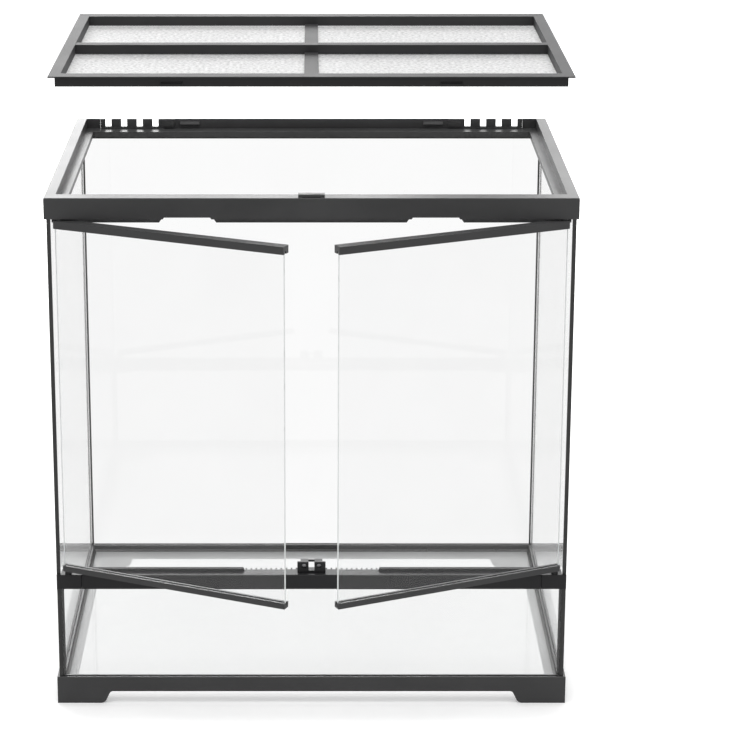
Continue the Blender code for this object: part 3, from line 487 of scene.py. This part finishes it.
@dataclass(frozen=True)
class Sealant(Finish):
    """Black silicone, drawn smooth with a finger and slightly uneven along its length."""

    tone: Colour = (0.012, 0.012, 0.012)
    roughness: float = 0.30
    ripple_size: float = 0.014
    ripple_depth: float = 0.00012
    bloom_size: float = 0.030
    bloom_paler: float = 1.6
    bloom_roughness: float = 0.16

    def paint(self, graph: Graph, spot: bpy.types.NodeSocket) -> None:
        """Adds the finish's nodes: the finger's ripples and a pale bloom.

        Args:
            graph: the material's graph.
            spot: the point on the surface, which the patterns read.
        """
        ripple = graph.speckle(spot, self.ripple_size)
        bloom = graph.speckle(spot, self.bloom_size, 3.0)
        pale = scaled(self.tone, self.bloom_paler)
        graph.coat(
            {
                "Base Color": graph.blend(bloom.fade(0.4, 0.7), self.tone, pale),
                "Roughness": self.roughness + (bloom - 0.5) * self.bloom_roughness,
                "Normal": graph.bump(ripple, self.ripple_depth),
            }
        )


@dataclass(frozen=True)
class SoftRubber(Finish):
    """Matte black rubber with a pitted skin."""

    tone: Colour = (0.016, 0.016, 0.017)
    gloss: float = 0.35
    roughness: float = 0.62
    pit_size: float = 0.0009
    pit_depth: float = 0.00005
    chalk_size: float = 0.020
    chalk_paler: float = 1.8
    chalk_roughness: float = 0.2

    def paint(self, graph: Graph, spot: bpy.types.NodeSocket) -> None:
        """Adds the finish's nodes: the skin's pits and a chalky dust.

        Args:
            graph: the material's graph.
            spot: the point on the surface, which the patterns read.
        """
        pits = graph.speckle(spot, self.pit_size)
        chalk = graph.speckle(spot, self.chalk_size, 3.0)
        pale = scaled(self.tone, self.chalk_paler)
        graph.coat(
            {
                "Base Color": graph.blend(chalk.fade(0.45, 0.75), self.tone, pale),
                "Roughness": self.roughness + (chalk - 0.5) * self.chalk_roughness,
                "Specular IOR Level": self.gloss,
                "Normal": graph.bump(pits, self.pit_depth),
            }
        )


class Lay(Enum):
    """How the marks on a metal piece run."""

    TURNED = "rings about +Z"
    DRAWN = "fine lines along the piece"
    PLATED = "a plain plated skin"


@dataclass(frozen=True)
class Metal(Finish):
    """Bare or plated metal."""

    tone: Colour
    roughness: float
    lay: Lay
    mark_size: float = 0.0004
    mark_depth: float = 0.000012
    mark_roughness: float = 0.08
    ring_share: float = 0.7
    drawn_stretch: Triple = (1.0, 1.0, 0.05)
    haze_size: float = 0.004
    haze_darker: float = 0.72
    haze_roughness: float = 0.15

    def paint(self, graph: Graph, spot: bpy.types.NodeSocket) -> None:
        """Adds the finish's nodes: a dull haze and the marks of the piece's making.

        Args:
            graph: the material's graph.
            spot: the point on the surface, which the patterns read.
        """
        haze = graph.speckle(spot, self.haze_size, 3.0)
        marks = self._marks(graph, spot)
        dull = scaled(self.tone, self.haze_darker)
        roughness = (
            self.roughness
            + (haze - 0.5) * self.haze_roughness
            + (marks - 0.5) * self.mark_roughness
        )
        graph.coat(
            {
                "Base Color": graph.blend(haze.fade(0.35, 0.7), self.tone, dull),
                "Roughness": roughness,
                "Metallic": 1.0,
                "Normal": graph.bump(marks, self.mark_depth),
            }
        )

    def _marks(self, graph: Graph, spot: bpy.types.NodeSocket) -> Amount:
        """Adds the marks that the piece's making left.

        Args:
            graph: the material's graph.
            spot: the point on the surface.

        Returns:
            The height of the marks, from 0 to 1.
        """
        if self.lay is Lay.DRAWN:
            stretch = {"Vector": spot, "Scale": self.drawn_stretch}
            drawn = graph.add("ShaderNodeMapping", None, stretch).outputs["Vector"]
            return graph.speckle(drawn, self.mark_size)
        scuff = graph.speckle(spot, self.mark_size)
        if self.lay is Lay.PLATED:
            return scuff
        rings = (graph.axis(spot, "Z") * (math.tau / self.mark_size)).sine() * 0.5 + 0.5
        return rings * self.ring_share + scuff * (1.0 - self.ring_share)


def make_piece(
    name: str, form: bmesh.types.BMesh, materials: Iterable[bpy.types.Material]
) -> bpy.types.Object:
    """Makes an object of a finished form.

    Args:
        name: the piece's name.
        form: its mesh, which is freed.
        materials: its materials, in the order that the faces number them.

    Returns:
        The new object.
    """
    mesh = bpy.data.meshes.new(name)
    form.to_mesh(mesh)
    form.free()
    for material in materials:
        mesh.materials.append(material)
    piece = bpy.data.objects.new(name, mesh)
    bpy.context.scene.collection.objects.link(piece)
    LOG.info("%s: %d faces", name, len(mesh.polygons))
    return piece


def dress(names: Iterable[str], material: bpy.types.Material) -> None:
    """Puts a finish on CAD pieces.

    Args:
        names: the pieces' node names.
        material: the finish.
    """
    for name in names:
        piece = frame["nodes"][name]
        if not piece.material_slots:
            piece.data.materials.append(material)
        for slot in piece.material_slots:
            slot.material = material
        LOG.info("%s: %s", name, material.name)


# --------------------------------------------------------------------------------------------
# The object
# --------------------------------------------------------------------------------------------


@dataclass(frozen=True)
class Finishes:
    """The finishes that the terrarium's pieces share."""

    frame: bpy.types.Material
    rail: bpy.types.Material
    lid: bpy.types.Material
    sealant: bpy.types.Material
    rubber: bpy.types.Material
    magnet: bpy.types.Material
    wire: bpy.types.Material
    glass: bpy.types.Material
    floor_glass: bpy.types.Material
    ground_edge: bpy.types.Material


@dataclass
class Pane:
    """A sheet of glass with seamed edges, in the place of a CAD pane."""

    node: str
    body: str
    turn: float = 0.0
    free_edges: bool = True
    arris: float = 0.0004
    broad_face: float = 0.9

    def build(self, glass: bpy.types.Material, ground_edge: bpy.types.Material) -> bpy.types.Object:
        """Makes the pane and puts it in the CAD pane's place, with its free edges ground.

        Args:
            glass: the finish of its broad faces.
            ground_edge: the finish of its free edges.

        Returns:
            The pane.
        """
        turned = Matrix.Rotation(self.turn, 4, "Z")
        back = turned.inverted()
        corners = [back @ vertex.co for vertex in frame["nodes"][self.node].data.vertices]
        low = Vector([min(corner[axis] for corner in corners) for axis in range(3)])
        high = Vector([max(corner[axis] for corner in corners) for axis in range(3)])
        size = high - low
        thin = min(range(3), key=lambda axis: size[axis])
        broad = Vector(turned.col[thin][:3])
        form = bmesh.new()
        place = turned @ Matrix.Translation((low + high) / 2) @ Matrix.Diagonal((*size, 1.0))
        bmesh.ops.create_cube(form, size=1.0, matrix=place)
        bmesh.ops.bevel(
            form,
            geom=form.edges[:],
            offset=self.arris,
            affect="EDGES",
            segments=1,
            profile=0.5,
            material=-1,
        )
        form.normal_update()
        for face in form.faces:
            is_edge = abs(face.normal.dot(broad)) < self.broad_face
            face.material_index = int(self.free_edges and is_edge)
        piece = make_piece(f"{self.node}_sheet", form, [glass, ground_edge])
        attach(piece, self.body)
        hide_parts(self.node)
        return piece


@dataclass
class WovenScreen:
    """A screen of fine steel wires, one layer laid across the other, in a CAD screen's place."""

    node: str
    body: str
    pitch: float = 0.00105
    wire: float = 0.00017

    def build(self, finish: bpy.types.Material) -> bpy.types.Object:
        """Makes the screen and puts it in the CAD screen's place.

        Args:
            finish: the wires' material.

        Returns:
            The screen.
        """
        low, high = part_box(self.node)
        middle = (low.z + high.z) / 2
        form = bmesh.new()
        self._lay_wires(form, 0, low, high, middle - self.wire / 2)
        self._lay_wires(form, 1, low, high, middle + self.wire / 2)
        piece = make_piece(f"{self.node}_wires", form, [finish])
        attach(piece, self.body)
        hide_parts(self.node)
        return piece

    def _lay_wires(
        self, form: bmesh.types.BMesh, along: int, low: Vector, high: Vector, height: float
    ) -> None:
        """Lays one layer of parallel wires.

        Args:
            form: the mesh that receives them.
            along: the axis that the wires run along, 0 for X and 1 for Y.
            low: the screen's lowest corner.
            high: its highest corner.
            height: the layer's own height.
        """
        across = 1 - along
        span = high[across] - low[across] - self.wire
        count = max(2, round(span / self.pitch) + 1)
        size = [0.0, 0.0, self.wire]
        size[along] = high[along] - low[along]
        size[across] = self.wire
        for number in range(count):
            centre = (low + high) / 2
            centre[across] = low[across] + self.wire / 2 + span * number / (count - 1)
            centre.z = height
            place = Matrix.Translation(centre) @ Matrix.Diagonal((*size, 1.0))
            bmesh.ops.create_cube(form, size=1.0, matrix=place)


@dataclass
class Tank:
    """The fixed tank: base, panes, seals, top rim, ventilation rail and lock."""

    plastic: tuple[str, ...] = (
        "base_frame",
        "top_frame",
        "left_inlet_strip",
        "right_inlet_strip",
        "left_inlet_slider",
        "right_inlet_slider",
        "lid_catch",
    )
    rail: tuple[str, ...] = ("vent_rail", "left_hinge_block", "right_hinge_block", "lock_housing")
    seals: tuple[str, ...] = (
        "rear_left_seal",
        "rear_right_seal",
        "front_left_seal",
        "front_right_seal",
        "floor_seal",
        "left_edge_trim",
        "right_edge_trim",
    )
    sill_seals: tuple[str, ...] = ("left_sill_seal", "right_sill_seal")
    magnets: tuple[str, ...] = ("left_lock_magnet", "right_lock_magnet")
    floor_pane: str = "bottom_pane"
    panes: tuple[str, ...] = ("left_pane", "right_pane", "rear_pane", "lower_front_pane")

    def build(self, finishes: Finishes) -> None:
        """Dresses the tank's pieces, sets its panes and lays its ventilation screen.

        Args:
            finishes: the shared finishes.
        """
        dress(self.plastic, finishes.frame)
        dress(self.rail, finishes.rail)
        dress(self.seals, finishes.sealant)
        dress(self.sill_seals, finishes.rubber)
        dress(self.magnets, finishes.magnet)
        edge = finishes.ground_edge
        Pane(self.floor_pane, "tank", free_edges=False).build(finishes.floor_glass, edge)
        for name in self.panes:
            Pane(name, "tank", free_edges=False).build(finishes.glass, edge)
        WovenScreen("vent_screen", "tank").build(finishes.wire)


@dataclass
class Door:
    """One glass door with its two rails, its hinge pins and its striker."""

    side: str
    opening: float = DOOR_OPENING

    def build(self, pin: Metal, finishes: Finishes) -> None:
        """Sets the door's glass and dresses its other pieces.

        Args:
            pin: the metal of its pins and striker.
            finishes: the shared finishes.
        """
        turn = -self.opening if self.side == "left" else self.opening
        pane = Pane(f"{self.side}_door_glass", f"{self.side}_door", turn)
        pane.build(finishes.glass, finishes.ground_edge)
        dress([f"{self.side}_door_top_rail", f"{self.side}_door_bottom_rail"], finishes.frame)
        for name in ("upper_hinge_pin", "lower_hinge_pin", "striker"):
            node = f"{self.side}_{name}"
            low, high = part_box(node)
            dress([node], pin.material(f"{node}_steel", tuple((low + high) / 2)))


@dataclass
class Lid:
    """The screen lid: a moulded frame over four woven screens."""

    screens: tuple[str, ...] = ("front_left", "front_right", "rear_left", "rear_right")

    def build(self, finishes: Finishes) -> None:
        """Dresses the lid's frame and lays its screens.

        Args:
            finishes: the shared finishes.
        """
        dress(["lid_frame"], finishes.lid)
        for where in self.screens:
            WovenScreen(f"lid_screen_{where}", "lid").build(finishes.wire)


# --------------------------------------------------------------------------------------------
# The studio
# --------------------------------------------------------------------------------------------


@dataclass(frozen=True)
class SoftBox:
    """A large soft lamp, which neither the camera nor a ray through the glass sees."""

    name: str
    place: Triple
    aim: Triple
    width: float
    height: float
    radiance: float

    def build(self) -> bpy.types.Object:
        """Makes the lamp.

        Returns:
            The lamp's object.
        """
        lamp = bpy.data.lights.new(self.name, "AREA")
        lamp.shape = "RECTANGLE"
        lamp.size = self.width
        lamp.size_y = self.height
        lamp.energy = self.radiance * math.pi * self.width * self.height
        light = bpy.data.objects.new(self.name, lamp)
        bpy.context.scene.collection.objects.link(light)
        light.location = self.place
        towards = Vector(self.aim) - Vector(self.place)
        light.rotation_euler = towards.to_track_quat("-Z", "Y").to_euler()
        light.visible_camera = False
        light.visible_transmission = False
        return light


@dataclass
class Studio:
    """A plain white sweep with soft lamps, and the camera at the photograph's angle."""

    floor_reach: float = 40.0
    floor_white: float = 0.8
    floor_glow: float = 0.20
    far_glow: float = 0.65
    far_from: float = 1.2
    far_to: float = 2.6
    floor_share: float = 1.0
    ambient: float = 0.58
    camera_place: Triple = (-0.0006, -3.0669, 1.2902)
    camera_pitch: float = math.radians(16.75)
    lens: float = 129.05
    shift: float = 0.0775
    far_clip: float = 100.0
    lamps: tuple[SoftBox, ...] = (
        SoftBox("rear_left_softbox", (-1.30, 3.4, 1.75), (-0.2, 0.2, 0.7), 3.4, 1.8, 4.1),
        SoftBox("rear_right_softbox", (1.55, 3.4, 1.75), (0.2, 0.2, 0.7), 2.2, 1.8, 2.0),
        SoftBox("overhead_softbox", (0.0, -0.2, 3.0), (0.0, 0.0, 0.0), 2.6, 2.6, 2.4),
    )

    def build(self) -> None:
        """Makes the world, the floor, the lamps and the camera."""
        self._make_world()
        self._make_floor()
        for lamp in self.lamps:
            lamp.build()
            LOG.info("lamp %s", lamp.name)
        self._make_camera()
        bpy.context.scene.view_settings.view_transform = "Standard"

    def _seen(self, graph: Graph) -> Amount:
        """Tells the rays that see the background from those that light the object.

        Args:
            graph: the graph that uses the answer.

        Returns:
            1 for a ray from the camera, off a glossy surface or through glass.
        """
        path = graph.add("ShaderNodeLightPath")
        seen = graph.amount(path, "Is Camera Ray").most(graph.amount(path, "Is Glossy Ray"))
        return seen.most(graph.amount(path, "Is Transmission Ray"))

    def _make_world(self) -> None:
        """Makes a white world that lights the object at a plain level."""
        world = bpy.data.worlds.new("studio_world")
        bpy.context.scene.world = world
        graph = Graph(world)
        strength = self.ambient + self._seen(graph) * (1.0 - self.ambient)
        inputs = {"Color": (1.0, 1.0, 1.0), "Strength": strength}
        graph.surface(graph.add("ShaderNodeBackground", None, inputs).outputs["Background"])

    def _glowing(self, graph: Graph, glow: Amount | float, share: float) -> bpy.types.NodeSocket:
        """Makes a white surface that glows and still takes a soft shadow.

        Args:
            graph: the floor's graph.
            glow: the light that it gives off.
            share: how much of the light on it shows.

        Returns:
            The shader output.
        """
        inputs = {"Color": (1.0, 1.0, 1.0), "Strength": glow}
        glowing = graph.add("ShaderNodeEmission", None, inputs).outputs["Emission"]
        lit = graph.add("ShaderNodeBsdfDiffuse", None, {"Color": (share,) * 3}).outputs["BSDF"]
        return graph.add("ShaderNodeAddShader", None, {0: glowing, 1: lit}).outputs["Shader"]

    def _make_floor(self) -> None:
        """Makes the white floor, which keeps the object's soft shadow."""
        material = bpy.data.materials.new("studio_floor")
        graph = Graph(material)
        path = graph.add("ShaderNodeLightPath")
        away = graph.add("ShaderNodeVectorMath", {"operation": "LENGTH"}, {0: graph.place()})
        far = graph.amount(away, "Value").fade(self.far_from, self.far_to)
        glow = self.floor_glow + far * (self.far_glow - self.floor_glow)
        direct = self._glowing(graph, glow, self.floor_share)
        behind = self._glowing(graph, 1.0, 0.0)
        white = (self.floor_white,) * 3
        plain = graph.add("ShaderNodeBsdfDiffuse", None, {"Color": white}).outputs["BSDF"]
        indirect = graph.mixed(self._seen(graph), plain, behind)
        graph.surface(graph.mixed(graph.amount(path, "Is Camera Ray"), indirect, direct))
        form = bmesh.new()
        bmesh.ops.create_grid(form, x_segments=1, y_segments=1, size=self.floor_reach)
        make_piece("studio_floor", form, [material])

    def _make_camera(self) -> None:
        """Makes the camera."""
        lens = bpy.data.cameras.new("camera")
        lens.lens = self.lens
        lens.shift_x = self.shift
        lens.clip_end = self.far_clip
        camera = bpy.data.objects.new("camera", lens)
        bpy.context.scene.collection.objects.link(camera)
        camera.location = self.camera_place
        camera.rotation_euler = (math.pi / 2 - self.camera_pitch, 0.0, 0.0)
        bpy.context.scene.camera = camera


def main() -> None:
    """Builds the studio and dresses the terrarium piece by piece."""
    logging.basicConfig(level=logging.INFO, format="%(name)s %(message)s")
    Studio().build()
    pin = Metal((0.56, 0.56, 0.57), 0.28, Lay.TURNED)
    finishes = Finishes(
        frame=MouldedPlastic().material("frame_plastic_satin"),
        # The rail's plastic is the frame's black plastic made darker: painted shade for the recessed
        # vent rail, hinge blocks and lock housing.
        rail=MouldedPlastic((0.018, 0.018, 0.019), 0.20, 0.39).material("rail_plastic_painted_shade"),
        # The lid's plastic is the frame's black plastic made darker: painted shade, matched to the
        # skirt that lies in the shadow of the lid's overhanging flange.
        lid=MouldedPlastic((0.034, 0.034, 0.035), 0.14, 0.53).material("lid_plastic_painted_shade"),
        sealant=Sealant().material("sealant_black"),
        rubber=SoftRubber().material("rubber_matte"),
        magnet=Metal((0.30, 0.30, 0.31), 0.34, Lay.PLATED).material("magnet_plated"),
        wire=Metal((0.87, 0.87, 0.87), 0.60, Lay.DRAWN).material("wire_drawn"),
        glass=FloatGlass().material("glass_clear"),
        floor_glass=FloatGlass(film_amount=0.95, film_onset=2.0).material("glass_floor"),
        ground_edge=GroundEdge().material("glass_ground_edge"),
    )
    Tank().build(finishes)
    for side in ("left", "right"):
        Door(side).build(pin, finishes)
    Lid().build(finishes)


if __name__ == "__main__":
    main()
